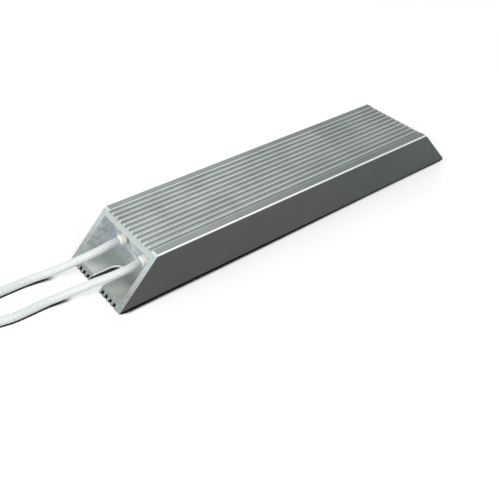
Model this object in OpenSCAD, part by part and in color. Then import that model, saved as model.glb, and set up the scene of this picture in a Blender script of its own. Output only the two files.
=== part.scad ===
// Aluminium housed power resistor.
// A grooved, hollow extrusion is mitred at both ends and holds two wound ceramic cores in series.
// X runs along the case with the leads at -X, Z is up, and the origin is the middle of the base.

/* [Case] */
// Length of the case along its base
case_length = 190; // [180:1:230]
// Width of the case
case_width = 40; // [38:0.5:50]
// Height of the case
case_height = 20; // [19:0.5:26]
// How far each mitred end leans back from the base to the top
mitre_run = 19; // [15:0.5:20]
// Thickness of the two side walls
side_wall = 2.8; // [2:0.1:3.4]
// Thickness of the top wall, grooves included
top_wall = 2.5; // [2:0.1:3]
// Thickness of the base wall, grooves included
base_wall = 2.5; // [2:0.1:3]
// Radius of the four long outer corners
outer_corner = 0.9; // [0.4:0.1:1.6]
// Radius of the four long inner corners
inner_corner = 0.8; // [0.6:0.1:1.2]

/* [Grooves] */
// Distance from one groove to the next, on the top and on the base
groove_pitch = 3; // [2.6:0.05:4]
// Least flat land beside the outermost groove
groove_margin = 3; // [2:0.1:5]
// Width of the round-crested rib between two top grooves
top_rib_width = 0.8; // [0.6:0.1:1.1]
// Depth of a top groove
top_groove_depth = 0.9; // [0.6:0.1:1.1]
// Width of a base groove
base_groove_width = 1.6; // [0.9:0.1:2]
// Depth of a base groove
base_groove_depth = 1.4; // [0.5:0.1:1.4]

/* [Mounting slots] */
// Width of the open slot at each end of the base
slot_width = 8.2; // [4:0.1:9]
// Distance between the centres of the two slots' round ends
slot_spacing = 170; // [166:0.5:174]

/* [End plates] */
// Thickness of each end plate
plate_thickness = 2; // [1.5:0.1:3]
// How far each end plate sits behind the upper lip of its opening
plate_setback = 3.9; // [1:0.1:6]
// Gap round the sides and top of an end plate, which stands on the base wall
plate_gap = 0.1; // [0.05:0.05:0.3]

/* [Ceramic beads] */
// Diameter of a bead where it passes the end plate
bead_diameter = 4.5; // [4.4:0.1:6]
// How far a bead stands out of the end plate
bead_nose = 3.6; // [3:0.1:5]
// Radius of the rounded rim of a bead
bead_rim = 1; // [0.3:0.1:1.1]
// Diameter of the shoulder that stops a bead behind the end plate
bead_shoulder = 7; // [6.8:0.1:8.4]
// Thickness of that shoulder
bead_shoulder_thickness = 1.2; // [0.8:0.1:2]
// Depth of the socket that takes the end of a lead's sleeve
bead_socket = 1.6; // [1:0.1:2.2]
// Gap round a bead in the end plate
bead_gap = 0.1; // [0.05:0.05:0.2]

/* [Cores] */
// Distance between the axes of the two cores
core_pitch = 16.7; // [14:0.1:18]
// Height of the core axes above the foot of the case
core_height = 9.8; // [9.4:0.1:10.6]
// Outer diameter of a ceramic core
core_diameter = 8; // [6.5:0.1:8.4]
// Bore of a ceramic core
core_bore = 3.5; // [2:0.1:4.5]

/* [Winding] */
// Number of turns of resistance wire on each core
winding_turns = 34; // [20:1:40]
// Thickness of the cement coat between the turns
coat_thickness = 0.4; // [0.2:0.05:0.5]
// How far each turn of wire stands out of the coat
turn_height = 0.4; // [0.2:0.05:0.5]
// Width of the ridge that each turn makes in the coat
turn_width = 1.2; // [0.8:0.1:1.6]

/* [Core caps and link] */
// Thickness of the metal of a core cap
cap_wall = 0.8; // [0.5:0.1:1]
// How far a cap reaches over the end of its core
cap_depth = 6; // [4:0.5:8]
// Clearance between a front cap and its ferrule
cap_clearance = 2; // [1:0.1:10]
// Thickness of the strap that joins the two rear caps
link_thickness = 1; // [0.6:0.1:1.6]
// Width of that strap
link_width = 6; // [4:0.1:8]
// How far a rear cap's rivet stands out of the strap
rivet_proud = 0.6; // [0.3:0.1:1]
// Gap round a rivet in the strap
rivet_gap = 0.05; // [0.05:0.05:0.2]

/* [Leads] */
// Diameter of a lead over its braided sleeve
lead_diameter = 3.4; // [2.6:0.1:3.6]
// Gap round a lead in the socket of its bead
lead_gap = 0.1; // [0.05:0.05:0.2]
// Diameter of the bare conductor, and of the terminal pins
conductor_diameter = 1.6; // [1:0.1:1.8]
// Gap round the conductor in the bore of its bead
conductor_gap = 0.15; // [0.05:0.05:0.2]
// Outer diameter of a crimped ferrule
ferrule_diameter = 3; // [2.4:0.1:3.6]
// Length of a crimped ferrule
ferrule_length = 8; // [5:0.5:12]
// Clearance between a bead's shoulder and its ferrule
ferrule_clearance = 1.5; // [0.5:0.1:6]

/* [Liner and filling] */
// Thickness of the mica liner
liner_thickness = 0.5; // [0.3:0.1:0.8]
// Gap between the cement filling and what it surrounds
fill_gap = 0.1; // [0.05:0.05:0.2]

/* [Hidden] */
$fn = 64;
// A cut runs past the face that it leaves by this much
over = 1;

// Cavity of the extrusion
cavity_width = case_width - 2 * side_wall;
cavity_height = case_height - top_wall - base_wall;
cavity_top = base_wall + cavity_height;

// Stations along X, all measured from the middle of the case towards an end
lip_x = mitre_x(cavity_top);
plate_outer_x = lip_x - plate_setback;
plate_inner_x = plate_outer_x - plate_thickness;
bead_front_x = plate_outer_x + bead_nose;
bead_rear_x = plate_inner_x - bead_shoulder_thickness;
sleeve_end_x = bead_front_x - bead_socket;
ferrule_outer_x = bead_rear_x - ferrule_clearance;
ferrule_inner_x = ferrule_outer_x - ferrule_length;
pin_end_x = (ferrule_outer_x + ferrule_inner_x) / 2;
cap_end_x = ferrule_inner_x - cap_clearance;
core_end_x = cap_end_x - cap_wall;
cap_open_x = core_end_x - cap_depth;
rivet_end_x = cap_end_x + link_thickness + rivet_proud;

// Axes of the two cores: the left one is at +Y, seen from the lead end
left = core_pitch / 2;
right = -core_pitch / 2;

// Diameters that follow from what they fit
cap_diameter = core_diameter + 2 * cap_wall;
turn_diameter = core_diameter + 2 * (coat_thickness + turn_height);
widest_core = max(cap_diameter, turn_diameter);

// Routes of the two leads: each point is [x, y, z], from just outside its bead to the coil.
// They leave the beads level, bow down to the surface and lie on it side by side.
on_floor = lead_diameter / 2;
left_route = [
    [-82, 8.1, 9.8], [-85.5, 7.7, 9.6], [-89, 7.9, 9.1], [-92.5, 8.7, 8.2], [-96, 10, 7],
    [-99.5, 11.3, 5.7], [-103, 12.9, 4.3], [-106.5, 14.5, 3.1], [-110, 15.8, 2.3], [-113.5, 16.6, 1.9],
    [-117, 16.9, on_floor], [-122, 17, on_floor], [-128, 16.9, on_floor], [-134, 16.4, on_floor],
    [-141, 15.4, on_floor], [-148, 14.4, on_floor], [-154, 14, on_floor]
];
right_route = [
    [-82, -8.9, 9.5], [-85.5, -8.8, 9.3], [-89, -8.2, 8.8], [-92.5, -7.1, 8], [-96, -5.6, 7],
    [-99.5, -4.1, 5.7], [-103, -2.4, 4.4], [-106.5, -0.9, 3.2], [-110, 0.1, 2.3], [-113.5, 0.8, 1.9],
    [-117, 0.9, on_floor], [-122, 0.8, on_floor], [-128, 0.9, on_floor], [-134, 2.2, on_floor],
    [-140, 4.8, on_floor], [-146, 7.8, on_floor], [-150, 9.5, on_floor], [-154, 10.5, on_floor]
];
// Both leads end in one flat coil, the left lead on the outer track
coil_centre = [-172.5, -10.3];
coil_outer_track = 24.3;
coil_track_step = 3.5;
coil_inner_track = 13;
coil_entry_x = -154;
lead_sides = 8;

// Where the mitre plane cuts the height z
function mitre_x(z) = case_length / 2 - mitre_run * z / case_height;

// Number of grooves of this width that fit across the case
function groove_count(width) =
    floor((case_width - 2 * groove_margin - width) / groove_pitch) + 1;

// Turns a flat outline in Y and Z into a solid from x0 to x1
module along_x(x0, x1) {
    translate([x0, 0, 0])
        rotate([90, 0, 90])
            linear_extrude(height = x1 - x0)
                children();
}

// Cylinder on the axis y of a core, from x0 to x1
module core_cylinder(y, diameter, x0, x1) {
    translate([x0, y, core_height])
        rotate([0, 90, 0])
            cylinder(d = diameter, h = x1 - x0);
}

// Outline with square edges and round corners, centred on Y and standing on z0
module round_box(width, height, radius, z0) {
    translate([-width / 2, z0 + radius])
        square([width, height - 2 * radius]);
    translate([radius - width / 2, z0])
        square([width - 2 * radius, height]);
    for (y = [radius - width / 2, width / 2 - radius])
        for (z = [z0 + radius, z0 + height - radius])
            translate([y, z])
                circle(r = radius);
}

// The cavity's outline, drawn in by an inset on every side
module cavity_outline(inset) {
    round_box(cavity_width - 2 * inset, cavity_height - 2 * inset,
        inner_corner - min(inset, inner_corner / 2), base_wall + inset);
}

// Solid outline of the case with the field of its top grooves sunk in it, and the ribs standing in that
// field. The outermost two ribs are half buried in the lands and round the edges of the field.
module ribbed_block() {
    count = groove_count(groove_pitch - top_rib_width);
    crest = top_rib_width / 2;
    difference() {
        round_box(case_width, case_height, outer_corner, 0);
        translate([-count * groove_pitch / 2, case_height - top_groove_depth])
            square([count * groove_pitch, top_groove_depth + over]);
    }
    for (i = [0:count])
        translate([(i - count / 2) * groove_pitch, case_height - crest]) {
            circle(r = crest);
            translate([-crest, -top_groove_depth])
                square([top_rib_width, top_groove_depth]);
        }
}

// Square-cut grooves of the base, centred across the case
module base_grooves() {
    count = groove_count(base_groove_width);
    for (i = [0:count - 1])
        translate([(i - (count - 1) / 2) * groove_pitch - base_groove_width / 2, -over])
            square([base_groove_width, base_groove_depth + over]);
}

// Section of the extrusion
module case_section() {
    difference() {
        ribbed_block();
        cavity_outline(0);
        base_grooves();
    }
}

// Side view of the mitred case, wider in Y than the extrusion
module mitred_block() {
    foot = mitre_x(-over);
    head = mitre_x(case_height + over);
    rotate([90, 0, 0])
        linear_extrude(height = case_width + 2 * over, center = true)
            polygon([[-foot, -over], [foot, -over], [head, case_height + over], [-head, case_height + over]]);
}

// The open slot at the +X end of the base
module end_slot() {
    translate([0, 0, -over])
        linear_extrude(height = base_wall + 2 * over) {
            translate([slot_spacing / 2, 0])
                circle(d = slot_width);
            translate([slot_spacing / 2, -slot_width / 2])
                square([case_length / 2 + over - slot_spacing / 2, slot_width]);
        }
}

module housing() {
    color([0.62, 0.65, 0.64])
        difference() {
            intersection() {
                along_x(-case_length / 2 - over, case_length / 2 + over)
                    case_section();
                mitred_block();
            }
            end_slot();
            mirror([1, 0, 0])
                end_slot();
        }
}

// Outline of an end plate, which stands on the base wall
module plate_outline() {
    round_box(cavity_width - 2 * plate_gap, cavity_height - plate_gap, inner_corner, base_wall);
}

module front_end_plate() {
    color([0.6, 0.63, 0.68])
        difference() {
            along_x(-plate_outer_x, -plate_inner_x)
                plate_outline();
            for (y = [left, right])
                core_cylinder(y, bead_diameter + 2 * bead_gap, -plate_outer_x - over, -plate_inner_x + over);
        }
}

module rear_end_plate() {
    color([0.6, 0.63, 0.68])
        along_x(plate_inner_x, plate_outer_x)
            plate_outline();
}

module mica_liner() {
    color([0.72, 0.62, 0.42])
        along_x(-plate_inner_x, plate_inner_x)
            difference() {
                cavity_outline(0);
                cavity_outline(liner_thickness);
            }
}

// The room that one core, its caps and its terminal need in the filling
module core_room(y) {
    core_cylinder(y, widest_core + 2 * fill_gap, -cap_end_x - fill_gap, cap_end_x + fill_gap);
    core_cylinder(y, ferrule_diameter + 2 * fill_gap, -plate_inner_x - over, -core_end_x);
    core_cylinder(y, bead_shoulder + 2 * fill_gap, -plate_inner_x - over, fill_gap - bead_rear_x);
}

module cement_fill() {
    strap_room = link_width + 2 * fill_gap;
    color([0.78, 0.76, 0.72])
        difference() {
            along_x(-plate_inner_x, plate_inner_x)
                cavity_outline(liner_thickness);
            for (y = [left, right])
                core_room(y);
            along_x(core_end_x, rivet_end_x + fill_gap)
                translate([0, core_height])
                    square([core_pitch + strap_room, strap_room], center = true);
        }
}

// A bead: a round nose, a shoulder behind the plate, and a stepped bore for sleeve and conductor
module bead(y) {
    nose = bead_diameter / 2;
    shoulder = bead_shoulder / 2;
    socket = lead_diameter / 2 + lead_gap;
    bore = conductor_diameter / 2 + conductor_gap;
    depth = bead_front_x - bead_rear_x;
    color([0.94, 0.91, 0.82])
        translate([-bead_front_x, y, core_height])
            rotate([0, 90, 0])
                rotate_extrude()
                    difference() {
                        union() {
                            translate([0, bead_rim])
                                square([nose, depth - bead_rim]);
                            square([nose - bead_rim, depth]);
                            translate([nose - bead_rim, bead_rim])
                                circle(r = bead_rim);
                            translate([0, depth - bead_shoulder_thickness])
                                square([shoulder, bead_shoulder_thickness]);
                        }
                        translate([-nose, -over])
                            square([nose + socket, bead_socket + over]);
                        translate([-nose, -over])
                            square([nose + bore, depth + 2 * over]);
                    }
}

module core(y) {
    color([0.93, 0.91, 0.86])
        difference() {
            core_cylinder(y, core_diameter, -core_end_x, core_end_x);
            core_cylinder(y, core_bore, -core_end_x - over, core_end_x + over);
        }
}

// Resistance wire under its cement coat: a sleeve with one ridge for each turn
module winding(y) {
    inner = core_diameter / 2;
    coat = inner + coat_thickness;
    crest = coat + turn_height;
    length = 2 * cap_open_x;
    pitch = length / winding_turns;
    color([0.5, 0.52, 0.48])
        translate([-cap_open_x, y, core_height])
            rotate([0, 90, 0])
                rotate_extrude()
                    polygon(concat(
                        [[inner, 0], [coat, 0]],
                        [for (i = [0:winding_turns - 1], step = [-1, 0, 1])
                            [step == 0 ? crest : coat, (i + 0.5) * pitch + step * turn_width / 2]],
                        [[coat, length], [inner, length]]
                    ));
}

// Metal cup over one end of a core, with a pin as far as pin_x on its closed end; side is -1 at the lead end
module cap(y, side, pin_x) {
    color([0.8, 0.78, 0.72])
        mirror([side < 0 ? 1 : 0, 0, 0]) {
            difference() {
                core_cylinder(y, cap_diameter, cap_open_x, cap_end_x);
                core_cylinder(y, core_diameter, cap_open_x - over, core_end_x);
            }
            core_cylinder(y, conductor_diameter, core_end_x + cap_wall / 2, pin_x);
        }
}

module link_strap() {
    color([0.78, 0.74, 0.62])
        along_x(cap_end_x, cap_end_x + link_thickness)
            translate([0, core_height])
                difference() {
                    union() {
                        square([core_pitch, link_width], center = true);
                        for (y = [left, right])
                            translate([y, 0])
                                circle(d = link_width);
                    }
                    for (y = [left, right])
                        translate([y, 0])
                            circle(d = conductor_diameter + 2 * rivet_gap);
                }
}

// Crimped tube that holds the conductor and the cap's pin end to end
module ferrule(y) {
    color([0.75, 0.76, 0.78])
        difference() {
            core_cylinder(y, ferrule_diameter, -ferrule_outer_x, -ferrule_inner_x);
            core_cylinder(y, conductor_diameter, -ferrule_outer_x - over, over - ferrule_inner_x);
        }
}

// Bare inner end of a lead's conductor, from the end of its sleeve to the cap's pin
module conductor(y) {
    color([0.85, 0.62, 0.42])
        core_cylinder(y, conductor_diameter, -sleeve_end_x, -pin_end_x);
}

function unit(v) = v / norm(v);

// Direction of a route at its point i
function heading(route, i) =
    unit(route[min(i + 1, len(route) - 1)] - route[max(i - 1, 0)]);

// Ring of points round point i of a route
function ring(route, i, radius, sides) =
    let (along = heading(route, i), across = unit(cross([0, 0, 1], along)), up = cross(along, across))
    [for (k = [0:sides - 1])
        route[i] + radius * (cos(k * 360 / sides) * across + sin(k * 360 / sides) * up)];

// A tube of flat-sided rings swept along a route
module tube(route, radius, sides) {
    last = len(route) - 1;
    points = [for (i = [0:last], p = ring(route, i, radius, sides)) p];
    walls = [for (i = [0:last - 1], k = [0:sides - 1])
        let (a = i * sides + k, b = i * sides + (k + 1) % sides)
        [a, b, b + sides, a + sides]];
    polyhedron(points, concat(
        [[for (k = [sides - 1:-1:0]) k]],
        walls,
        [[for (k = [0:sides - 1]) last * sides + k]]
    ));
}

// A sleeved lead from the socket of its bead to the coil
module lead(y, route) {
    start = [[-sleeve_end_x, y, core_height], [-bead_front_x, y, core_height]];
    color([0.93, 0.95, 0.93])
        tube(concat(start, route), lead_diameter / 2, lead_sides);
}

// Outer shape of the flat coil that both leads share, with the straight run into it
module lead_coil() {
    outer = coil_outer_track + lead_diameter / 2;
    inner = coil_inner_track - lead_diameter / 2;
    run_width = coil_track_step + lead_diameter;
    color([0.93, 0.95, 0.93])
        translate(coil_centre)
            linear_extrude(height = lead_diameter)
                difference() {
                    union() {
                        circle(r = outer);
                        translate([0, outer - run_width])
                            square([coil_entry_x - coil_centre[0], run_width]);
                    }
                    circle(r = inner);
                }
}

housing();
front_end_plate();
rear_end_plate();
mica_liner();
cement_fill();
bead(left);  // bead_left
bead(right);  // bead_right
core(left);  // core_left
core(right);  // core_right
winding(left);  // winding_left
winding(right);  // winding_right
cap(left, -1, pin_end_x);  // front_cap_left
cap(right, -1, pin_end_x);  // front_cap_right
cap(left, 1, rivet_end_x);  // rear_cap_left
cap(right, 1, rivet_end_x);  // rear_cap_right
link_strap();
ferrule(left);  // ferrule_left
ferrule(right);  // ferrule_right
conductor(left);  // conductor_left
conductor(right);  // conductor_right
lead(left, left_route);  // lead_left
lead(right, right_route);  // lead_right
lead_coil();
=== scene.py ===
"""Looks of an aluminium housed power resistor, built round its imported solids.

The case, its end plates, the beads and the sealed element keep their solids and get their finishes.
The two braided leads are modelled here in full, along the routes that their plain solids follow.
"""

import logging
import math
from dataclasses import dataclass
from enum import Enum
from typing import Any, Dict, List, Sequence, Tuple, Union

import bpy
import numpy as np
from mathutils import Matrix, Vector

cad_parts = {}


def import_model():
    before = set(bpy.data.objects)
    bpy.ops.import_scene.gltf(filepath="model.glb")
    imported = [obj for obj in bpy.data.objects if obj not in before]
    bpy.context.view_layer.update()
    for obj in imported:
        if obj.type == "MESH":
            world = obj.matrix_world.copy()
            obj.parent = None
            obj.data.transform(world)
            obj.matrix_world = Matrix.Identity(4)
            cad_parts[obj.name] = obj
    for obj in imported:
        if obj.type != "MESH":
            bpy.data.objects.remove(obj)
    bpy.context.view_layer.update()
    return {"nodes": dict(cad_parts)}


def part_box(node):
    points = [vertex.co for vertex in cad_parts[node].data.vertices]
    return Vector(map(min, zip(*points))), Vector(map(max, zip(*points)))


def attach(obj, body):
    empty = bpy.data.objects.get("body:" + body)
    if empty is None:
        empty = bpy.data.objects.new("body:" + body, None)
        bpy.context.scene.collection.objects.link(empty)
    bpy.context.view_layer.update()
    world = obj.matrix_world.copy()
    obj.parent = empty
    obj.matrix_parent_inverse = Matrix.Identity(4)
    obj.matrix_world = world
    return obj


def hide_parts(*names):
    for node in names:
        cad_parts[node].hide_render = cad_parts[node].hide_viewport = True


LOG = logging.getLogger("resistor")
BODY = "root"
MM = 0.001
SIDES = ("left", "right")

Colour = Tuple[float, float, float]
Point = Tuple[float, float, float]
Reach = Tuple[float, float]
Number = Union["Value", float]


def grey(level: float) -> Colour:
    """A neutral colour of this linear level."""
    return (level, level, level)


# ---------------------------------------------------------------- node graphs

# Colour sockets of a Mix node by number, because its sockets for other types have the same names
MIX_FACTOR, MIX_FIRST, MIX_SECOND, MIX_COLOUR = 0, 6, 7, 2


class Value:
    """A number socket of a node graph that takes part in Python arithmetic."""

    def __init__(self, graph: "Graph", socket: bpy.types.NodeSocket) -> None:
        """Wraps a socket of that graph."""
        self.graph = graph
        self.socket = socket

    def _math(self, operation: str, *operands: Number) -> "Value":
        """Adds one Math node.

        Args:
            operation: the node's operation, by Blender's name.
            operands: its inputs in order, as values or plain numbers.

        Returns:
            The node's result.
        """
        inputs = dict(enumerate(operands))
        node = self.graph.node("ShaderNodeMath", {"operation": operation}, inputs)
        return Value(self.graph, node.outputs[0])

    def __add__(self, other: Number) -> "Value":
        """self + other."""
        return self._math("ADD", self, other)

    __radd__ = __add__

    def __sub__(self, other: Number) -> "Value":
        """self - other."""
        return self._math("SUBTRACT", self, other)

    def __rsub__(self, other: Number) -> "Value":
        """other - self."""
        return self._math("SUBTRACT", other, self)

    def __mul__(self, other: Number) -> "Value":
        """self * other."""
        return self._math("MULTIPLY", self, other)

    __rmul__ = __mul__

    def __pow__(self, other: Number) -> "Value":
        """self ** other."""
        return self._math("POWER", self, other)

    def __abs__(self) -> "Value":
        """The size of self without its sign."""
        return self._math("ABSOLUTE", self)

    def above(self, limit: float, soft: float = 0.0) -> "Value":
        """1 where self is above a limit, with a soft step of that half width."""
        return self.ramp(limit - soft, limit + soft) if soft else self._math("GREATER_THAN", self, limit)

    def below(self, limit: float, soft: float = 0.0) -> "Value":
        """1 where self is below a limit, with a soft step of that half width."""
        return 1 - self.above(limit, soft)

    def ramp(self, low: float, high: float, to_low: float = 0.0, to_high: float = 1.0) -> "Value":
        """Maps self smoothly from one range to another, and holds it there outside.

        Args:
            low: where the result is to_low.
            high: where the result is to_high.
            to_low: result at and below low.
            to_high: result at and above high.

        Returns:
            The mapped value.
        """
        settings = {"interpolation_type": "SMOOTHSTEP"}
        inputs = {"Value": self, "From Min": low, "From Max": high, "To Min": to_low, "To Max": to_high}
        node = self.graph.node("ShaderNodeMapRange", settings, inputs)
        return Value(self.graph, node.outputs["Result"])


class Graph:
    """The node tree of a material or of the world, with one way to add a node."""

    def __init__(self, owner: Union[bpy.types.Material, bpy.types.World]) -> None:
        """Empties the owner's node tree and works in it.

        Args:
            owner: the material or the world.
        """
        owner.use_nodes = True
        self.owner = owner
        self.tree = owner.node_tree
        self.tree.nodes.clear()

    def node(self, kind: str, settings: Dict[str, Any], inputs: Dict[Any, Any]) -> bpy.types.Node:
        """Adds any node.

        Args:
            kind: the node's type, by Blender's name.
            settings: properties that are set first.
            inputs: socket name or number to a value, a socket or a plain constant.

        Returns:
            The new node.
        """
        made = self.tree.nodes.new(kind)
        for name, setting in settings.items():
            setattr(made, name, setting)
        for name, given in inputs.items():
            source = given.socket if isinstance(given, Value) else given
            if isinstance(source, bpy.types.NodeSocket):
                self.tree.links.new(source, made.inputs[name])
            elif isinstance(source, tuple) and len(made.inputs[name].default_value) == len(source) + 1:
                made.inputs[name].default_value = (*source, 1.0)
            else:
                made.inputs[name].default_value = source
        return made

    def parts(self, vector: bpy.types.NodeSocket) -> Tuple[Value, Value, Value]:
        """The X, Y and Z of a vector."""
        node = self.node("ShaderNodeSeparateXYZ", {}, {"Vector": vector})
        return tuple(Value(self, out) for out in node.outputs)

    def place(self) -> bpy.types.NodeSocket:
        """The point's place in the part's own frame, in millimetres."""
        node = self.node("ShaderNodeTexCoord", {}, {})
        return self.scaled(node.outputs["Object"], grey(1 / MM))

    def scaled(self, vector: bpy.types.NodeSocket, by: Point) -> bpy.types.NodeSocket:
        """A vector with each of its parts multiplied by a number."""
        return self.node("ShaderNodeVectorMath", {"operation": "MULTIPLY"}, {0: vector, 1: by}).outputs[0]

    def facing(self) -> Tuple[Value, Value, Value]:
        """The X, Y and Z of the surface's normal."""
        return self.parts(self.node("ShaderNodeNewGeometry", {}, {}).outputs["Normal"])

    def attribute(self, name: str) -> Value:
        """A number that the mesh keeps at each of its points."""
        node = self.node("ShaderNodeAttribute", {"attribute_type": "GEOMETRY", "attribute_name": name}, {})
        return Value(self, node.outputs["Fac"])

    def noise(self, place: bpy.types.NodeSocket, scale: float, detail: float = 3, twist: float = 0) -> Value:
        """Cloudy noise from 0 to 1.

        Args:
            place: where it is read.
            scale: lumps to one unit of place.
            detail: octaves of finer noise.
            twist: how far the lumps are drawn out of shape.

        Returns:
            The noise.
        """
        inputs = {"Vector": place, "Scale": scale, "Detail": detail, "Distortion": twist}
        return Value(self, self.node("ShaderNodeTexNoise", {}, inputs).outputs["Fac"])

    def mix(self, factor: Number, first: Any, second: Any) -> bpy.types.NodeSocket:
        """A colour between two colours, by a factor."""
        inputs = {MIX_FACTOR: factor, MIX_FIRST: first, MIX_SECOND: second}
        return self.node("ShaderNodeMix", {"data_type": "RGBA"}, inputs).outputs[MIX_COLOUR]

    def bump(self, height: Value, depth: float, strength: float = 0.6) -> bpy.types.NodeSocket:
        """A normal from a height from 0 to 1 that stands for this depth in millimetres."""
        inputs = {"Height": height, "Distance": depth * MM, "Strength": strength}
        return self.node("ShaderNodeBump", {}, inputs).outputs["Normal"]

    def surface(self, **inputs: Any) -> bpy.types.Material:
        """Ends a material with one Principled shader.

        Args:
            inputs: socket names, with an underscore for a space, to their values.

        Returns:
            The finished material.
        """
        named = {name.replace("_", " "): given for name, given in inputs.items()}
        shader = self.node("ShaderNodeBsdfPrincipled", {}, named)
        self.node("ShaderNodeOutputMaterial", {}, {"Surface": shader.outputs[0]})
        return self.owner


def new_graph(name: str) -> Graph:
    """A graph in a new material."""
    return Graph(bpy.data.materials.new(name))


# ------------------------------------------------------------------- finishes

# How far past its nominal place, in millimetres, a point may lie and still be taken for that surface
CLOSE, NEAR, WIDE = 0.05, 0.1, 0.2
# Z of the normal above which a surface counts as level
LEVEL = 0.5


@dataclass(frozen=True)
class CaseShape:
    """Sizes that tell the surfaces of the case apart, in millimetres."""

    half_width: float
    height: float
    cavity_half_width: float
    base_wall: float
    ribbed_half_width: float
    groove_floor: float
    slot_half_width: float
    corner_depth: float = 1.2
    foot_height: float = 1.0
    rib_crest_depth: float = 0.45
    slot_edge_depth: float = 1.0
    mouth_depth: float = 1.8
    skin_depth: float = 2.0


class CaseReading:
    """What the case's material reads at a point: its place, the kind of surface, and the noises there.

    Each kind of surface is a value that is 1 on it and 0 elsewhere, and each noise runs from 0 to 1.
    The four stretches squeeze a noise along X, Y and Z.
    """

    DRAWN = (0.015, 2.4, 2.4)
    BRUSHED = (0.12, 9.0, 9.0)
    TINTED = (0.6, 1.0, 1.6)
    SAWN = (3.2, 0.35, 3.2)

    def __init__(self, graph: Graph, shape: CaseShape) -> None:
        """Adds the nodes that read all this.

        Args:
            graph: the material's graph.
            shape: sizes of the case.
        """
        place = graph.place()
        self.x, self.y, self.z = graph.parts(place)
        self._tell_surfaces(graph, shape)

        self.streaks = graph.noise(graph.scaled(place, self.DRAWN), 1.0, 5)
        self.fine = graph.noise(graph.scaled(place, self.BRUSHED), 1.0, 3)
        self.clouds = graph.noise(place, 0.045, 4, 0.6)
        self.blots = graph.noise(place, 0.30, 4, 1.0)
        self.tints = graph.noise(graph.scaled(place, self.TINTED), 0.06, 2, 0.8)
        self.saw_lines = graph.noise(graph.scaled(place, self.SAWN), 1.0, 4, 0.2)

    def _tell_surfaces(self, graph: Graph, shape: CaseShape) -> None:
        """Tells the kinds of surface apart by the point's place and the way that the surface faces.

        Args:
            graph: the material's graph.
            shape: sizes of the case.
        """
        nx, ny, nz = graph.facing()
        z, across, sideways = self.z, abs(self.y), abs(ny)
        outer = across.above(shape.cavity_half_width + WIDE)
        ribbed = z.above(shape.groove_floor + CLOSE) * across.below(shape.ribbed_half_width + WIDE)
        inner = across.below(shape.cavity_half_width + NEAR) * z.below(shape.height - shape.mouth_depth)
        in_base = z.below(shape.base_wall - CLOSE)

        # The long sides, which take painted shade.
        self.side = outer * sideways.ramp(0.35, 0.95)
        # Painted highlight: the rounded upper long edges, where they turn from side to top.
        self.highlit_corner = outer * nz.above(0.1) * z.above(shape.height - shape.corner_depth)
        self.highlit_corner *= (sideways * nz).ramp(0.12, 0.42)
        self.foot = z.below(shape.foot_height) * nz.below(-0.15, 0.1)
        # Painted highlight: rib crests that face the front and up.
        self.crest_highlight = ribbed * (nz * ny).ramp(-0.45, -0.25, 1.0, 0.0)
        # Painted highlight: the steep flanks of the ribs.
        self.flank_highlight = ribbed * sideways.ramp(0.80, 0.95)
        # The channels between the ribs, which take painted light.
        self.channel = across.below(shape.ribbed_half_width + NEAR) * z.above(shape.height - shape.skin_depth)
        self.channel *= z.below(shape.height - shape.rib_crest_depth)
        self.recess_floor = inner * z.above(shape.base_wall - CLOSE) * nz.above(LEVEL)
        # The inner walls of the recess, which take painted light.
        self.lit_recess_wall = inner * z.above(shape.base_wall + CLOSE) * nz.below(LEVEL)
        self.underneath = across.below(shape.half_width - shape.skin_depth) * in_base * nz.below(LEVEL)
        # Painted highlight: the upper part of the slot's cut walls, above their painted shade.
        self.highlit_slot_wall = across.below(shape.slot_half_width + WIDE) * in_base * abs(nz).below(LEVEL)
        self.highlit_slot_wall *= z.above(shape.base_wall - shape.slot_edge_depth, 0.2)
        self.sawn = (abs(nx) * nz).ramp(0.25, 0.40)
        self.burr = z.above(shape.groove_floor, 0.2)


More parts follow.
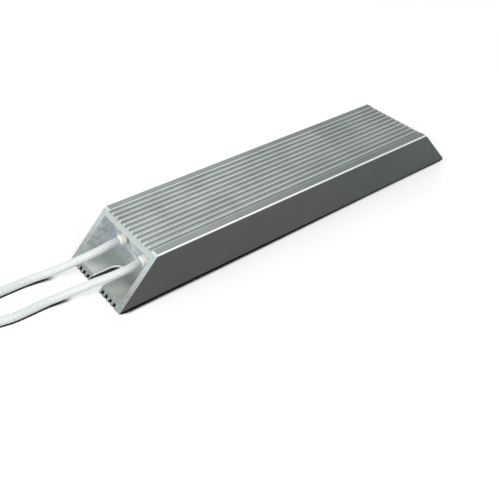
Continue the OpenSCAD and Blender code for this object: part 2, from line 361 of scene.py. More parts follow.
@dataclass(frozen=True)
class CaseFinish:
    """Extruded aluminium: satin top; bright ribs from painted highlights on their crests and flanks and
    painted light in their channels; sides dark from painted shade; recesses pale from painted light on their
    walls, with painted shade along the middle of their floors and a painted highlight on the slot walls;
    bright sawn ends with painted shade towards the foot.

    The reaches are stretches in millimetres, along or across the case, over which a finish changes.
    """

    shape: CaseShape
    top: Colour = (0.145, 0.168, 0.160)
    # Painted light: the channels are coloured paler than the top lands, most of all towards the lead end.
    channel: Colour = (0.262, 0.298, 0.287)
    # Painted highlight on the rib crests that face the front, brightest towards the lead end.
    crest_highlight: Colour = (0.545, 0.590, 0.575)
    # Painted highlight: the rib flanks are coloured bright.
    flank_highlight: Colour = (0.580, 0.620, 0.605)
    # Painted shade: the long sides are coloured far darker than the top of the same metal.
    side: Colour = (0.075, 0.081, 0.079)
    side_tint: Colour = (0.086, 0.082, 0.081)
    # Painted shade: the sides darken further towards the rear end.
    side_rear_shade: Colour = (0.061, 0.072, 0.069)
    # Painted highlight on the rounded upper long edges.
    edge_highlight: Colour = (0.600, 0.620, 0.620)
    gleam: Colour = (0.750, 0.750, 0.750)
    haze: Colour = (0.100, 0.105, 0.110)
    recess_floor: Colour = (0.410, 0.447, 0.420)
    # Painted shade on the recess floor: a band centred on the near side of the slot, and random blots
    # strongest on the near side.
    recess_shade: Colour = (0.280, 0.308, 0.288)
    recess_smear: Colour = (0.520, 0.550, 0.575)
    # Painted light: the inner walls of the recess are coloured far paler than the outer sides of the same
    # metal.
    lit_recess_wall: Colour = (0.700, 0.745, 0.770)
    recess_mottle: Colour = (0.500, 0.540, 0.560)
    # Painted highlight on the upper part of the slot walls.
    cut_wall_highlight: Colour = (0.860, 0.880, 0.870)
    sawn_high: Colour = (0.440, 0.495, 0.475)
    # Painted shade: the sawn ends darken towards the foot.
    sawn_shade: Colour = (0.235, 0.265, 0.260)
    saw_glint: Colour = (0.700, 0.740, 0.730)
    burr: Colour = (0.600, 0.660, 0.640)
    shade: Colour = (0.030, 0.032, 0.032)
    channel_light_reach: Reach = (-80, 0)
    crest_highlight_reach: Reach = (-70, 60)
    side_shade_reach: Reach = (-30, 50)
    # Middle and reaches of the painted shade on the recess floor.
    shade_middle: float = -5
    shade_reach: Reach = (4, 12)
    shade_patch_reach: Reach = (-2, 6)
    smear_reach: Reach = (83, 76)
    metallic: float = 0.75
    recess_metallic: float = 0.30
    smooth: float = 0.34
    rough: float = 0.46
    grain: float = 0.08
    streak_depth: float = 0.02
    saw_depth: float = 0.05

    def make(self) -> bpy.types.Material:
        """Builds the material.

        Returns:
            The material.
        """
        graph = new_graph("case_aluminium")
        at = CaseReading(graph, self.shape)
        colour = graph.mix(at.recess_floor, self._extruded(graph, at), self._recess(graph, at))
        # Painted light on the inner recess walls, with random mottling.
        mottled = graph.mix(at.blots.ramp(0.42, 0.62), self.lit_recess_wall, self.recess_mottle)
        colour = graph.mix(at.lit_recess_wall, colour, mottled)
        colour = graph.mix(at.underneath, colour, self.shade)
        # Painted highlight on the upper slot walls.
        colour = graph.mix(at.highlit_slot_wall, colour, self.cut_wall_highlight)
        colour = graph.mix(at.foot, colour, self.shade)
        colour = graph.mix(at.sawn, colour, self._sawn(graph, at))

        recessed = at.recess_floor + at.lit_recess_wall + at.flank_highlight
        relief = at.streaks * 0.6 + at.fine * 0.4
        height = relief * (1 - at.sawn) + at.saw_lines * at.sawn * (self.saw_depth / self.streak_depth)
        return graph.surface(
            Base_Color=colour,
            Metallic=recessed.ramp(0.0, 1.0, self.metallic, self.recess_metallic),
            Roughness=at.streaks.ramp(0.2, 0.8, self.smooth, self.rough) + self.grain * (at.fine - 0.5),
            Normal=graph.bump(height, self.streak_depth),
        )

    def _extruded(self, graph: Graph, at: CaseReading) -> bpy.types.NodeSocket:
        """Colours the ribbed top with painted light in the channels and painted highlights on the crests and
        flanks, the sides in painted shade that deepens to the rear, and the long upper edges with a painted
        highlight.

        Args:
            graph: the material's graph.
            at: what it reads at a point.

        Returns:
            The colour.
        """
        # Painted light in the channels, strongest towards the lead end.
        colour = graph.mix(at.channel * at.x.ramp(*self.channel_light_reach, 1.0, 0.58), self.top, self.channel)
        # Painted highlight on the rib crests.
        colour = graph.mix(at.crest_highlight * at.x.ramp(*self.crest_highlight_reach, 1.0, 0.76), colour, self.crest_highlight)
        # Painted highlight on the rib flanks.
        colour = graph.mix(at.flank_highlight, colour, self.flank_highlight)
        side = graph.mix(at.tints.ramp(0.35, 0.65), self.side, self.side_tint)
        # Painted shade: darker towards the rear end.
        side = graph.mix(at.x.ramp(*self.side_shade_reach), side, self.side_rear_shade)
        # Painted shade on the long sides.
        colour = graph.mix(at.side, colour, side)
        # Painted highlight on the upper long edges.
        colour = graph.mix(at.highlit_corner, colour, self.edge_highlight)
        colour = graph.mix(at.streaks.ramp(0.25, 0.75, 0.0, 0.10) * (1 - at.side), colour, self.gleam)
        return graph.mix(at.clouds.ramp(0.35, 0.7, 0.0, 0.22) * (1 - at.highlit_corner), colour, self.haze)

    def _recess(self, graph: Graph, at: CaseReading) -> bpy.types.NodeSocket:
        """Colours the floor in front of an end plate, with painted shade along the middle and in blots that
        are strongest on the near side, and smeared beside the plate.

        Args:
            graph: the material's graph.
            at: what it reads at a point.

        Returns:
            The colour.
        """
        from_middle = abs(at.y - self.shade_middle)
        # Painted shade along the middle of the recess floor, then in blots towards the near side.
        colour = graph.mix(from_middle.ramp(*self.shade_reach), self.recess_shade, self.recess_floor)
        patches = at.blots.ramp(0.40, 0.65, 0.0, 0.35) * at.y.ramp(*self.shade_patch_reach, 1.0, 0.3)
        colour = graph.mix(patches, colour, self.recess_shade)
        smear = abs(at.x).ramp(*self.smear_reach) * at.blots.ramp(0.35, 0.55, 0.35, 1.0)
        return graph.mix(smear, colour, self.recess_smear)

    def _sawn(self, graph: Graph, at: CaseReading) -> bpy.types.NodeSocket:
        """Colours the mitred ends, with painted shade towards the foot and brightest on the burrs of the
        ribs.

        Args:
            graph: the material's graph.
            at: what it reads at a point.

        Returns:
            The colour.
        """
        # Painted shade towards the foot of the sawn ends.
        colour = graph.mix(at.z.ramp(4.0, self.shape.height - 3.0), self.sawn_shade, self.sawn_high)
        colour = graph.mix(at.saw_lines.ramp(0.3, 0.7, 0.0, 0.35), colour, self.saw_glint)
        return graph.mix(at.burr, colour, self.burr)


@dataclass(frozen=True)
class PlateFinish:
    """Mill-finished aluminium with the bluish clouds of heat and handling, and painted shade under the top
    wall.
    """

    height: float
    pale: Colour = (0.700, 0.745, 0.770)
    dull: Colour = (0.440, 0.480, 0.478)
    # Colour of the stains, also used for the painted shade under the top wall.
    stain_and_shade: Colour = (0.300, 0.320, 0.340)
    speck: Colour = (0.700, 0.700, 0.700)
    metallic: float = 0.15
    smooth: float = 0.38
    rough: float = 0.55
    depth: float = 0.04
    shade_starts: float = 9
    shade_full: float = 4

    def make(self) -> bpy.types.Material:
        """Builds the material.

        Returns:
            The material.
        """
        graph = new_graph("end_plate_aluminium")
        place = graph.place()
        z = graph.parts(place)[2]
        clouds = graph.noise(place, 0.16, 4, 1.4)
        blots = graph.noise(place, 0.42, 3, 0.8)
        grain = graph.noise(place, 6.0, 3)
        # Painted shade: darker towards the top wall of the case above the plate.
        shaded = z.ramp(self.height - self.shade_starts, self.height - self.shade_full, 0.0, 0.7)
        colour = graph.mix(clouds.ramp(0.35, 0.65), self.dull, self.pale)
        colour = graph.mix(blots.ramp(0.52, 0.72, 0.0, 0.5), colour, self.stain_and_shade)
        colour = graph.mix(grain.ramp(0.4, 0.7, 0.0, 0.10), colour, self.speck)
        return graph.surface(
            Base_Color=graph.mix(shaded, colour, self.stain_and_shade),
            Metallic=self.metallic,
            Roughness=clouds.ramp(0.3, 0.7, self.rough, self.smooth),
            Normal=graph.bump(grain * 0.5 + blots * 0.5, self.depth),
        )


@dataclass(frozen=True)
class BeadFinish:
    """Cream ceramic, turning brown towards its root at the plate."""

    root_x: float
    cream: Colour = (0.980, 0.970, 0.880)
    root: Colour = (0.360, 0.250, 0.160)
    pit: Colour = (0.620, 0.570, 0.470)
    smooth: float = 0.42
    rough: float = 0.60
    depth: float = 0.08
    relief: float = 0.5
    browned_from: float = 1.3
    browned_to: float = 0.2
    raggedness: float = 1.2

    def make(self) -> bpy.types.Material:
        """Builds the material.

        Returns:
            The material.
        """
        graph = new_graph("bead_ceramic")
        place = graph.place()
        x = graph.parts(place)[0]
        clouds = graph.noise(place, 0.9, 4, 0.5)
        pits = graph.noise(place, 4.5, 2)
        ragged = x + self.raggedness * (clouds - 0.5)
        browned = ragged.ramp(self.root_x - self.browned_from, self.root_x - self.browned_to)
        colour = graph.mix(browned, self.cream, self.root)
        return graph.surface(
            Base_Color=graph.mix(pits.ramp(0.58, 0.75, 0.0, 0.30), colour, self.pit),
            Roughness=clouds.ramp(0.3, 0.7, self.smooth, self.rough),
            Normal=graph.bump(pits, self.depth, self.relief),
        )


@dataclass(frozen=True)
class BraidFinish:
    """White glass yarn, with painted shade in the gaps between its strands."""

    yarn: Colour = (0.765, 0.808, 0.795)
    crossing: Colour = (0.720, 0.765, 0.752)
    # Painted shade in the gaps between the strands.
    gap_shade: Colour = (0.560, 0.600, 0.590)
    fibre: Colour = (0.600, 0.630, 0.620)
    soil: Colour = (0.550, 0.560, 0.500)
    sheen: float = 0.15
    smooth: float = 0.62
    rough: float = 0.80
    depth: float = 0.06

    def make(self) -> bpy.types.Material:
        """Builds the material.

        Returns:
            The material.
        """
        graph = new_graph("sleeve_braid")
        place = graph.place()
        fibres = graph.noise(place, 7.0, 3, 0.4)
        soil = graph.noise(place, 0.12, 3)
        colour = graph.mix(graph.attribute("strand"), self.yarn, self.crossing)
        # Painted shade where the yarn relief is low.
        colour = graph.mix(graph.attribute("relief").ramp(0.35, 0.8, 1.0, 0.0), colour, self.gap_shade)
        colour = graph.mix(fibres.ramp(0.5, 0.75, 0.0, 0.2), colour, self.fibre)
        return graph.surface(
            Base_Color=graph.mix(soil.ramp(0.5, 0.8, 0.0, 0.12), colour, self.soil),
            Roughness=fibres.ramp(0.3, 0.7, self.smooth, self.rough),
            Sheen_Weight=self.sheen,
            Normal=graph.bump(fibres, self.depth),
        )


class Pattern(Enum):
    """How the second colour of a plain finish lies on the first, by the stretch of its noise."""

    SPECKLED = (1.0, 1.0, 1.0)
    CLOUDED = (0.3, 0.3, 0.3)
    FLAKED = (0.25, 1.0, 3.0)
    DRAWN = (0.06, 2.0, 2.0)


@dataclass(frozen=True)
class PlainFinish:
    """Two colours in one pattern, for the element's pieces and for bare metal."""

    name: str
    first: Colour
    second: Colour
    pattern: Pattern
    scale: float
    metallic: float = 0.0
    roughness: float = 0.6
    depth: float = 0.05
    unevenness: float = 0.08

    def make(self) -> bpy.types.Material:
        """Builds the material.

        Returns:
            The material.
        """
        graph = new_graph(self.name)
        place = graph.place()
        mottle = graph.noise(graph.scaled(place, self.pattern.value), self.scale, 4, 0.3)
        grain = graph.noise(place, self.scale * 3, 2)
        smooth, rough = self.roughness - self.unevenness, self.roughness + self.unevenness
        return graph.surface(
            Base_Color=graph.mix(mottle.ramp(0.35, 0.65), self.first, self.second),
            Metallic=self.metallic,
            Roughness=grain.ramp(0.3, 0.7, smooth, rough),
            Normal=graph.bump(mottle * 0.6 + grain * 0.4, self.depth),
        )


def metal(name: str, first: Colour, second: Colour, roughness: float, scale: float = 1.0) -> PlainFinish:
    """Bare drawn metal in two shades."""
    return PlainFinish(name, first, second, Pattern.DRAWN, scale, 1.0, roughness, 0.02)


# --------------------------------------------------------------------- meshes


def new_piece(name: str, points: np.ndarray, faces: Sequence[Sequence[int]]) -> bpy.types.Object:
    """Makes a smooth mesh object in the scene.

    Args:
        name: the object's name.
        points: its vertices, in metres.
        faces: vertex numbers of each face.

    Returns:
        The new object.
    """
    mesh = bpy.data.meshes.new(name)
    mesh.from_pydata(points.tolist(), [], faces)
    mesh.update()
    mesh.shade_smooth()
    made = bpy.data.objects.new(name, mesh)
    bpy.context.scene.collection.objects.link(made)
    return made


def dress(piece: bpy.types.Object, finish: bpy.types.Material) -> None:
    """Gives every material slot of a piece one finish.

    Args:
        piece: the piece to dress.
        finish: its finish.
    """
    if not piece.material_slots:
        piece.data.materials.append(finish)
    for material_slot in piece.material_slots:
        material_slot.material = finish


def dress_all(
    nodes: Dict[str, bpy.types.Object], names: Sequence[str], finish: bpy.types.Material
) -> List[bpy.types.Object]:
    """Gives several of the part's nodes one finish.

    Args:
        nodes: all nodes by name.
        names: the nodes to dress.
        finish: their finish.

    Returns:
        The dressed nodes.
    """
    dressed = [nodes[name] for name in names]
    for node in dressed:
        dress(node, finish)
    return dressed


def smooth_through(points: np.ndarray, steps: int) -> np.ndarray:
    """A smooth line through points.

    Args:
        points: the points, one to a row.
        steps: pieces that each span is cut into.

    Returns:
        The line's points.
    """
    ends = np.vstack([2 * points[0] - points[1], points, 2 * points[-1] - points[-2]])
    t = np.linspace(0, 1, steps, endpoint=False)[:, None]
    spans = []
    for a, b, c, d in zip(ends, ends[1:], ends[2:], ends[3:]):
        spans.append(b + 0.5 * t * (c - a + t * (2 * a - 5 * b + 4 * c - d + t * (3 * (b - c) + d - a))))
    return np.vstack([*spans, points[-1:]])


def run_lengths(line: np.ndarray) -> np.ndarray:
    """How far along a line each of its points lies."""
    return np.concatenate([[0.0], np.cumsum(np.linalg.norm(np.diff(line, axis=0), axis=1))])


def even_points(line: np.ndarray, start: float, end: float, spacing: float) -> np.ndarray:
    """Points at an even spacing along a line.

    Args:
        line: the line's own points.
        start: how far along it the first point lies.
        end: how far along it the last point lies.
        spacing: about how far apart they are.

    Returns:
        The points.
    """
    stations = np.linspace(start, end, round((end - start) / spacing) + 1)
    lengths = run_lengths(line)
    return np.stack([np.interp(stations, lengths, line[:, k]) for k in range(3)], axis=1)


def ring_frames(line: np.ndarray) -> Tuple[np.ndarray, np.ndarray]:
    """The sideways and upward directions at each point of a line that is nowhere upright.

    Args:
        line: the line's points.

    Returns:
        The two directions, with one row to a point.
    """
    along = np.gradient(line, axis=0)
    along /= np.linalg.norm(along, axis=1)[:, None]
    across = np.cross([0.0, 0.0, 1.0], along)
    across /= np.linalg.norm(across, axis=1)[:, None]
    return across, np.cross(along, across)


def tube_points(line: np.ndarray, radii: np.ndarray) -> np.ndarray:
    """Rings of points round a line.

    Args:
        line: the middle of each ring.
        radii: one row to a ring and one column to a side.

    Returns:
        The points, ring after ring, with the two end points last.
    """
    across, up = ring_frames(line)
    turn = np.linspace(0, 2 * math.pi, radii.shape[1], endpoint=False)
    reach = radii[:, :, None] * (
        np.cos(turn)[None, :, None] * across[:, None] + np.sin(turn)[None, :, None] * up[:, None]
    )
    rings = (line[:, None] + reach).reshape(-1, 3)
    return np.vstack([rings, line[:1], line[-1:]])


def tube_faces(rings: int, sides: int, first: int = 0) -> List[Tuple[int, ...]]:
    """Faces of a closed tube.

    Args:
        rings: how many rings it has.
        sides: points to a ring.
        first: number of its first point.

    Returns:
        The faces, with a fan at each end.
    """
    start, end = first + rings * sides, first + rings * sides + 1
    faces: List[Tuple[int, ...]] = []
    for ring in range(rings - 1):
        base = first + ring * sides
        for side in range(sides):
            near, far = base + side, base + (side + 1) % sides
            faces.append((near, far, far + sides, near + sides))
    last = first + (rings - 1) * sides
    for side in range(sides):
        after = (side + 1) % sides
        faces.append((start, first + after, first + side))
        faces.append((end, last + side, last + after))
    return faces


# ---------------------------------------------------------------------- leads


@dataclass
class Braid:
    """A sleeve braided from yarns that run both ways round it, over two and under two.

    A yarn that passes under stands as high as the share named under says. The flat exponent sets how flat
    its top is, the shoulder exponent how full its shoulders are, and the steepness how fast it climbs at
    a crossing.
    """

    radius: float = 1.7 * MM
    carriers: int = 8
    yarn_pitch: float = 1.32 * MM
    depth: float = 0.32 * MM
    under: float = 0.45
    flat_exponent: int = 4
    shoulder_exponent: float = 0.6
    steepness: float = 1.8
    sides: int = 48
    ring_spacing: float = 0.22 * MM

    def relief(self, around: np.ndarray, along: np.ndarray) -> Tuple[np.ndarray, np.ndarray]:
        """Height of the yarns over the sleeve.

        Args:
            around: place round the sleeve, in turns.
            along: place along it, in metres.

        Returns:
            The height from 0 to 1, and 1 where a yarn of the second family lies on top.
        """
        first = self.carriers * around + along / self.yarn_pitch
        second = self.carriers * around - along / self.yarn_pitch
        rise_first = self._level(np.floor(first) + second)
        rise_second = 1 - self._level(np.floor(second) + first)
        height_first = self._hump(first) * (self.under + (1 - self.under) * rise_first)
        height_second = self._hump(second) * (self.under + (1 - self.under) * rise_second)
        return np.maximum(height_first, height_second), (height_second > height_first).astype(float)

    def _hump(self, phase: np.ndarray) -> np.ndarray:
        """Rounded section of the yarn at this phase."""
        offset = 2 * (phase - np.floor(phase)) - 1
        return np.maximum(0, 1 - offset**self.flat_exponent) ** self.shoulder_exponent

    def _level(self, crossings: np.ndarray) -> np.ndarray:
        """1 where the first family passes over and 0 where it passes under."""
        return 0.5 + 0.5 * np.clip(self.steepness * np.sin(math.pi / 2 * crossings), -1, 1)


@dataclass
class Tip:
    """The stripped and twisted end of the conductor.

    It comes down to the surface over the falling share of its length, and the last stretch of each strand,
    as many of its radii long as the rounding says, closes to a round end.
    """

    length: float = 9 * MM
    hidden: float = 1.5 * MM
    strand_radius: float = 0.27 * MM
    bundle_radius: float = 0.53 * MM
    lay_length: float = 11 * MM
    strands: int = 6
    sides: int = 8
    ring_spacing: float = 0.35 * MM
    falling_share: float = 0.6
    rounding: float = 2.5

    def build(self, name: str, line: np.ndarray) -> bpy.types.Object:
        """Twists the strands round a line.

        Args:
            name: the piece's name.
            line: the middle of the bundle.

        Returns:
            The piece.
        """
        across, up = ring_frames(line)
        run = run_lengths(line)
        closing = np.clip((run[-1] - run) / (self.rounding * self.strand_radius), 0, 1) ** 0.5
        points: List[np.ndarray] = []
        faces: List[Tuple[int, ...]] = []
        for strand in range(-1, self.strands):
            turn = 2 * math.pi * (strand / self.strands + run / self.lay_length)
            reach = 0.0 if strand < 0 else self.bundle_radius
            offset = reach * (np.cos(turn)[:, None] * across + np.sin(turn)[:, None] * up)
            radii = np.repeat((self.strand_radius * closing)[:, None], self.sides, axis=1)
            faces += tube_faces(len(line), self.sides, sum(len(block) for block in points))
            points.append(tube_points(line + offset, radii))
        return new_piece(name, np.vstack(points), faces)


@dataclass
class Coil:
    """The flat round coil that both leads run into side by side, drawn in by the gain at each turn."""

    centre: Tuple[float, float] = (-172 * MM, -12 * MM)
    gain: float = 7 * MM
    turns: float = 2.0
    steps_per_turn: int = 240

    def line(self, radius: float, height: float) -> np.ndarray:
        """The turns of one lead.

        Args:
            radius: where its track starts.
            height: of its middle above the surface.

        Returns:
            Points that start beside the centre at +Y and wind inwards.
        """
        turned = np.linspace(0, self.turns, round(self.turns * self.steps_per_turn) + 1)
        angle = math.pi / 2 + 2 * math.pi * turned
        reach = radius - self.gain * turned
        x = self.centre[0] + reach * np.cos(angle)
        y = self.centre[1] + reach * np.sin(angle)
        return np.stack([x, y, np.full_like(x, height)], axis=1)


@dataclass
class Lead:
    """One sleeved lead, from the socket of its bead to its bare tip in the coil."""

    side: str
    route: List[Point]
    track: float
    braid: Braid
    coil: Coil
    tip: Tip
    length: float = 240 * MM
    socket: float = 1.6 * MM
    steps_per_span: int = 24
    rings_per_path_point: int = 4

    def centreline(self) -> Tuple[np.ndarray, Point]:
        """Runs the lead from its bead, along its route and round the coil.

        Returns:
            The whole line, and the point where it leaves its bead.
        """
        low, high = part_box(f"bead_{self.side}")
        y, z = (low.y + high.y) / 2, (low.z + high.z) / 2
        leaves = (low.x, y, z)
        start = [(low.x + self.socket, y, z), leaves]
        hand_set = np.array(start + [tuple(c * MM for c in point) for point in self.route])
        lying = smooth_through(hand_set, self.steps_per_span)
        lying[:, 2] = np.maximum(lying[:, 2], self.braid.radius)
        return np.vstack([lying, self.coil.line(self.track, self.braid.radius)]), leaves

    def make_sleeve(self, line: np.ndarray) -> bpy.types.Object:
        """Makes the braided sleeve, with the relief and the family of its yarns kept at each point.

        Args:
            line: the middle of its rings.

        Returns:
            The sleeve.
        """
        around = np.linspace(0, 1, self.braid.sides, endpoint=False)[None, :]
        along = run_lengths(line)[:, None]
        relief, strand = self.braid.relief(around, along)
        radii = self.braid.radius - self.braid.depth * (1 - relief)
        faces = tube_faces(len(line), self.braid.sides)
        sleeve = new_piece(f"lead_{self.side}_sleeve", tube_points(line, radii), faces)
        for name, numbers in {"relief": relief, "strand": strand}.items():
            kept = sleeve.data.attributes.new(name, "FLOAT", "POINT")
            kept.data.foreach_set("value", np.append(numbers.ravel(), [0.0, 0.0]).astype(np.float32))
        return sleeve

    def make_tip(self, whole: np.ndarray) -> bpy.types.Object:
        """Makes the bare tip, which comes down from the middle of the sleeve to lie on the surface.

        Args:
            whole: the lead's whole line.

        Returns:
            The tip.
        """
        first, last = self.length - self.tip.hidden, self.length + self.tip.length
        bare = even_points(whole, first, last, self.tip.ring_spacing)
        fallen = (run_lengths(bare) - self.tip.hidden) / (self.tip.falling_share * self.tip.length)
        fallen = np.clip(fallen, 0, 1)
        lying_height = self.tip.bundle_radius + self.tip.strand_radius
        bare[:, 2] -= (self.braid.radius - lying_height) * fallen**2 * (3 - 2 * fallen)
        return self.tip.build(f"lead_{self.side}_tip", bare)

    def build(
        self, sleeve_finish: bpy.types.Material, tip_finish: bpy.types.Material
    ) -> List[bpy.types.Object]:
        """Args:
            sleeve_finish: the braid's material.
            tip_finish: the conductor's material.

        Returns:
            The sleeve and the tip.
        """
        whole, leaves = self.centreline()
        line = even_points(whole, 0.0, self.length, self.braid.ring_spacing)
        sleeve = self.make_sleeve(line)
        dress(sleeve, sleeve_finish)
        tip = self.make_tip(whole)
        dress(tip, tip_finish)

        for piece, slot in ((sleeve, "sleeve"), (tip, "conductor")):
            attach(piece, BODY)
        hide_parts(f"lead_{self.side}", "lead_coil")
        return [sleeve, tip]


# Height of the middle of a lead that lies on the surface, in millimetres
ON_FLOOR = 1.7
# Routes of the leads, as their plain solids have them, from just outside the bead to the coil, in millimetres
LEFT_ROUTE: List[Point] = [
    (-82, 8.1, 9.8), (-85.5, 7.7, 9.6), (-89, 7.9, 9.1), (-92.5, 8.7, 8.2), (-96, 10, 7),
    (-99.5, 11.3, 5.7), (-103, 12.9, 4.3), (-106.5, 14.5, 3.1), (-110, 15.8, 2.3), (-113.5, 16.6, 1.9),
    (-117, 16.9, ON_FLOOR), (-122, 17, ON_FLOOR), (-128, 16.9, ON_FLOOR), (-134, 16.4, ON_FLOOR),
    (-141, 15.4, ON_FLOOR), (-148, 14.4, ON_FLOOR), (-154, 14, ON_FLOOR),
]
RIGHT_ROUTE: List[Point] = [
    (-82, -8.9, 9.5), (-85.5, -8.8, 9.3), (-89, -8.2, 8.8), (-92.5, -7.1, 8), (-96, -5.6, 7),
    (-99.5, -4.1, 5.7), (-103, -2.4, 4.4), (-106.5, -0.9, 3.2), (-110, 0.1, 2.3), (-113.5, 0.8, 1.9),
    (-117, 0.9, ON_FLOOR), (-122, 0.8, ON_FLOOR), (-128, 0.9, ON_FLOOR), (-134, 2.2, ON_FLOOR),
    (-140, 4.8, ON_FLOOR), (-146, 7.8, ON_FLOOR), (-150, 9.5, ON_FLOOR), (-154, 10.5, ON_FLOOR),
]
# Radii at which the left and the right lead enter the coil
COIL_TRACKS = (26 * MM, 22.5 * MM)


# -------------------------------------------------------------------- the part


@dataclass
class Casing:
    """The extruded case, its two end plates and the beads in the front plate, with sizes in millimetres."""

    nodes: Dict[str, bpy.types.Object]
    base_wall: float = 2.5
    side_wall: float = 2.8
    ribbed_width: float = 33.0
    groove_depth: float = 0.9
    slot_width: float = 8.2

    def shape(self) -> CaseShape:
        """Works out the sizes that the case's finish goes by.

        Returns:
            The sizes.
        """
        _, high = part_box("housing")
        half_width, height = high.y / MM, high.z / MM
        return CaseShape(
            half_width=half_width, height=height, cavity_half_width=half_width - self.side_wall,
            base_wall=self.base_wall, ribbed_half_width=self.ribbed_width / 2,
            groove_floor=height - self.groove_depth, slot_half_width=self.slot_width / 2,
        )

    def dress(self) -> List[bpy.types.Object]:
        """Gives the case, the plates and the beads their finishes.

        Returns:
            The pieces.
        """
        shape = self.shape()
        root_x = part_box("front_end_plate")[0].x / MM
        return (
            dress_all(self.nodes, ["housing"], CaseFinish(shape).make())
            + dress_all(self.nodes, ["front_end_plate", "rear_end_plate"], PlateFinish(shape.height).make())
            + dress_all(self.nodes, ["bead_left", "bead_right"], BeadFinish(root_x).make())
        )


@dataclass
class Element:
    """The wound cores, their fittings, the liner and the filling, sealed in the case."""

    nodes: Dict[str, bpy.types.Object]

    @staticmethod
    def finishes() -> List[Tuple[PlainFinish, List[str]]]:
        """Lists the finishes of the sealed pieces.

        Returns:
            Each finish with the names of its pieces.
        """
        mica = PlainFinish("mica_sheet", (0.62, 0.50, 0.30), (0.78, 0.70, 0.52), Pattern.FLAKED, 0.8)
        cement = PlainFinish("set_cement", (0.72, 0.70, 0.66), (0.55, 0.53, 0.50), Pattern.SPECKLED, 1.5)
        core = PlainFinish(
            "core_ceramic", (0.86, 0.84, 0.79), (0.80, 0.77, 0.70), Pattern.CLOUDED, 0.8, roughness=0.45
        )
        coat = PlainFinish("winding_coat", (0.38, 0.42, 0.36), (0.28, 0.30, 0.27), Pattern.SPECKLED, 2.0)
        nickel = metal("nickel_cap", (0.72, 0.70, 0.66), (0.60, 0.58, 0.54), 0.28)
        brass = metal("strap_brass", (0.72, 0.60, 0.36), (0.60, 0.48, 0.28), 0.30)
        tin = metal("ferrule_tin", (0.70, 0.71, 0.73), (0.58, 0.59, 0.61), 0.32)
        copper = metal("bare_copper", (0.78, 0.46, 0.30), (0.66, 0.36, 0.22), 0.30, 1.5)
        return [
            (mica, ["mica_liner"]),
            (cement, ["cement_fill"]),
            (core, [f"core_{side}" for side in SIDES]),
            (coat, [f"winding_{side}" for side in SIDES]),
            (nickel, [f"{end}_cap_{side}" for end in ("front", "rear") for side in SIDES]),
            (brass, ["link_strap"]),
            (tin, [f"ferrule_{side}" for side in SIDES]),
            (copper, [f"conductor_{side}" for side in SIDES]),
        ]

    def dress(self) -> List[bpy.types.Object]:
        """Gives each sealed piece its finish.

        Returns:
            The pieces.
        """
        dressed: List[bpy.types.Object] = []
        for finish, names in self.finishes():
            dressed += dress_all(self.nodes, names, finish.make())
        return dressed


# ------------------------------------------------------------------ the studio

# Kinds of ray that show the background: from the camera, off gloss and through glass
SHOWING = ("Camera", "Glossy", "Transmission")


def rays(graph: Graph, *kinds: str) -> Value:
    """Tells some kinds of ray from the others.

    Args:
        graph: the graph that asks.
        kinds: the kinds, by Blender's names.

    Returns:
        1 for rays of any of these kinds and 0 for others.
    """
    node = graph.node("ShaderNodeLightPath", {}, {})
    found = [Value(graph, node.outputs[f"Is {kind} Ray"]) for kind in kinds]
    return sum(found[1:], found[0]).ramp(0.0, 1.0)


@dataclass(frozen=True)
class Lamp:
    """One square soft lamp that faces the part, with its place and size in metres."""

    name: str
    place: Point
    size: float
    watts: float

    def hang(self) -> None:
        """Adds the lamp to the scene."""
        lamp = bpy.data.objects.new(self.name, bpy.data.lights.new(self.name, "AREA"))
        lamp.data.energy = self.watts
        lamp.data.size = self.size
        lamp.location = self.place
        lamp.rotation_mode = "QUATERNION"
        lamp.rotation_quaternion = Vector(self.place).to_track_quat("Z", "Y")
        bpy.context.scene.collection.objects.link(lamp)


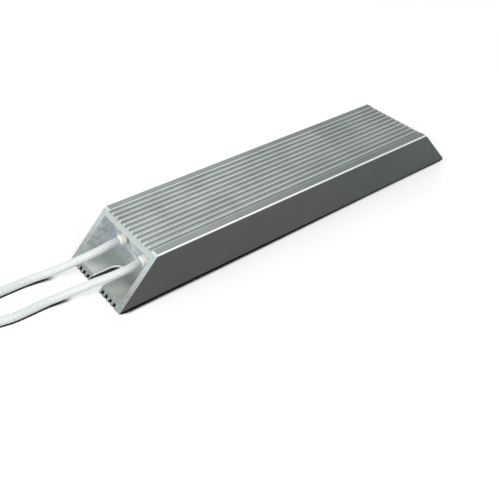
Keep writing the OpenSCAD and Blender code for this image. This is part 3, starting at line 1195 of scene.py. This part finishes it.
@dataclass
class Studio:
    """Camera, pale floor, white surroundings and soft lamps.

    The fades are stretches of the floor in millimetres, from the part's origin or along the part, and
    near_glow is the share of the floor's glow that is left close to the part.
    """

    azimuth: float = -39.3595
    elevation: float = 39.2866
    roll: float = 1.7932
    distance: float = 320.044 * MM
    across: float = -12.5449 * MM
    above: float = -21.3685 * MM
    lens: float = 49.604
    sensor: float = 36.0
    nearest: float = 10 * MM
    world_level: float = 0.48
    floor_size: float = 6.0
    floor_level: float = 0.70
    floor_glow: float = 0.70
    floor_fade: Reach = (400, 1400)
    near_glow: float = 0.5
    contact_samples: int = 16
    contact_reach: float = 4 * MM
    # Colour of the painted contact shadow on the floor.
    shadow_level: float = 0.01
    contact_light: Reach = (0.64, 0.80)
    case_fade: Reach = (-60, 60)
    case_thinning: float = 0.12
    lead_fade: Reach = (-100, -96)
    lead_thinning: float = 0.20
    lamps: Tuple[Lamp, ...] = (
        Lamp("lamp_front", (0.45, -0.76, 0.89), 0.7, 4.0),
        Lamp("lamp_behind", (0.34, 0.80, 0.76), 0.45, 1.5),
        Lamp("lamp_end", (-0.95, -0.25, 0.60), 1.2, 10.8),
    )

    def add_camera(self) -> bpy.types.Object:
        """Places the camera and makes it the scene's.

        Returns:
            The camera.
        """
        turn, lift, lean = (math.radians(a) for a in (self.azimuth, self.elevation, self.roll))
        back = Vector((math.sin(turn) * math.cos(lift), -math.cos(turn) * math.cos(lift), math.sin(lift)))
        level = Vector((0, 0, 1)).cross(back).normalized()
        upright = back.cross(level)
        right = level * math.cos(lean) + upright * math.sin(lean)
        up = upright * math.cos(lean) - level * math.sin(lean)
        turned = Matrix((right, up, back)).transposed().to_4x4()
        place = right * self.across + up * self.above + back * self.distance

        camera = bpy.data.objects.new("camera", bpy.data.cameras.new("camera"))
        camera.data.lens = self.lens
        camera.data.sensor_width = self.sensor
        camera.data.clip_start = self.nearest
        camera.matrix_world = Matrix.Translation(place) @ turned
        bpy.context.scene.collection.objects.link(camera)
        bpy.context.scene.camera = camera
        return camera

    def add_world(self) -> None:
        """Adds white surroundings that light the part at a lower level than they show."""
        world = bpy.data.worlds.new("surroundings")
        bpy.context.scene.world = world
        graph = Graph(world)
        strength = rays(graph, *SHOWING).ramp(0.0, 1.0, self.world_level, 1.0)
        background = graph.node("ShaderNodeBackground", {}, {"Color": grey(1.0), "Strength": strength})
        graph.node("ShaderNodeOutputWorld", {}, {"Surface": background.outputs[0]})

    def contact_shadow(self, graph: Graph, x: Value) -> Value:
        """Finds the painted contact shadow, a thin dark line where the part meets the floor, as the camera
        sees it.

        Args:
            graph: the floor material's graph.
            x: place along the part, where the line gets thinner under the leads and towards the rear.

        Returns:
            1 in the line and 0 on the open floor.
        """
        settings = {"samples": self.contact_samples}
        open_sky = graph.node("ShaderNodeAmbientOcclusion", settings, {"Distance": self.contact_reach})
        thinner = x.ramp(*self.case_fade, 0.0, self.case_thinning)
        thinner += x.ramp(*self.lead_fade, self.lead_thinning, 0.0)
        light = Value(graph, open_sky.outputs["AO"]) + thinner
        return rays(graph, "Camera") * light.ramp(*self.contact_light, 1.0, 0.0)

    def add_floor(self) -> bpy.types.Object:
        """Lays the floor, lifted to white where it shows and a little darker to light that it passes on.

        Returns:
            The floor.
        """
        half = self.floor_size / 2
        corners = np.array([(-half, -half, 0), (half, -half, 0), (half, half, 0), (-half, half, 0)])
        floor = new_piece("floor", corners, [(0, 1, 2, 3)])
        graph = new_graph("floor_white")
        x, y, _ = graph.parts(graph.place())
        far_off = ((x * x + y * y) ** 0.5).ramp(*self.floor_fade, self.near_glow, 1.0)
        # Painted contact shadow: a thin dark line on the floor where the part nearly touches it, for camera
        # rays alone.
        contact_shadow = self.contact_shadow(graph, x)
        dress(floor, graph.surface(
            Base_Color=graph.mix(contact_shadow, grey(self.floor_level), grey(self.shadow_level)),
            Roughness=1.0,
            Specular_IOR_Level=0.0,
            Emission_Color=graph.mix((rays(graph, *SHOWING) - contact_shadow) * far_off, grey(0.0), grey(1.0)),
            Emission_Strength=self.floor_glow,
        ))
        return floor

    def light(self) -> None:
        """Adds the world, the floor and the lamps, under the plain view transform."""
        self.add_world()
        self.add_floor()
        for lamp in self.lamps:
            lamp.hang()
        bpy.context.scene.view_settings.view_transform = "Standard"


def report(pieces: Sequence[bpy.types.Object]) -> None:
    """Logs each piece, with its faces and its finish."""
    for piece in pieces:
        LOG.info("%s: %d faces, %s", piece.name, len(piece.data.polygons), piece.material_slots[0].name)


def main() -> None:
    """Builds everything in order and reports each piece."""
    logging.basicConfig(level=logging.INFO, format="%(name)s: %(message)s")
    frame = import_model()
    studio = Studio()
    camera = studio.add_camera()
    LOG.info("%s placed", camera.name)

    sleeve_finish = BraidFinish().make()
    tip_finish = metal("tinned_copper", (0.72, 0.72, 0.72), (0.60, 0.58, 0.55), 0.30, 2.0).make()
    for side, route, track in zip(SIDES, (LEFT_ROUTE, RIGHT_ROUTE), COIL_TRACKS):
        report(Lead(side, route, track, Braid(), Coil(), Tip()).build(sleeve_finish, tip_finish))

    report(Casing(frame["nodes"]).dress())
    report(Element(frame["nodes"]).dress())
    studio.light()
    LOG.info("studio lit")

    LOG.info("sizes written")


if __name__ == "__main__":
    main()
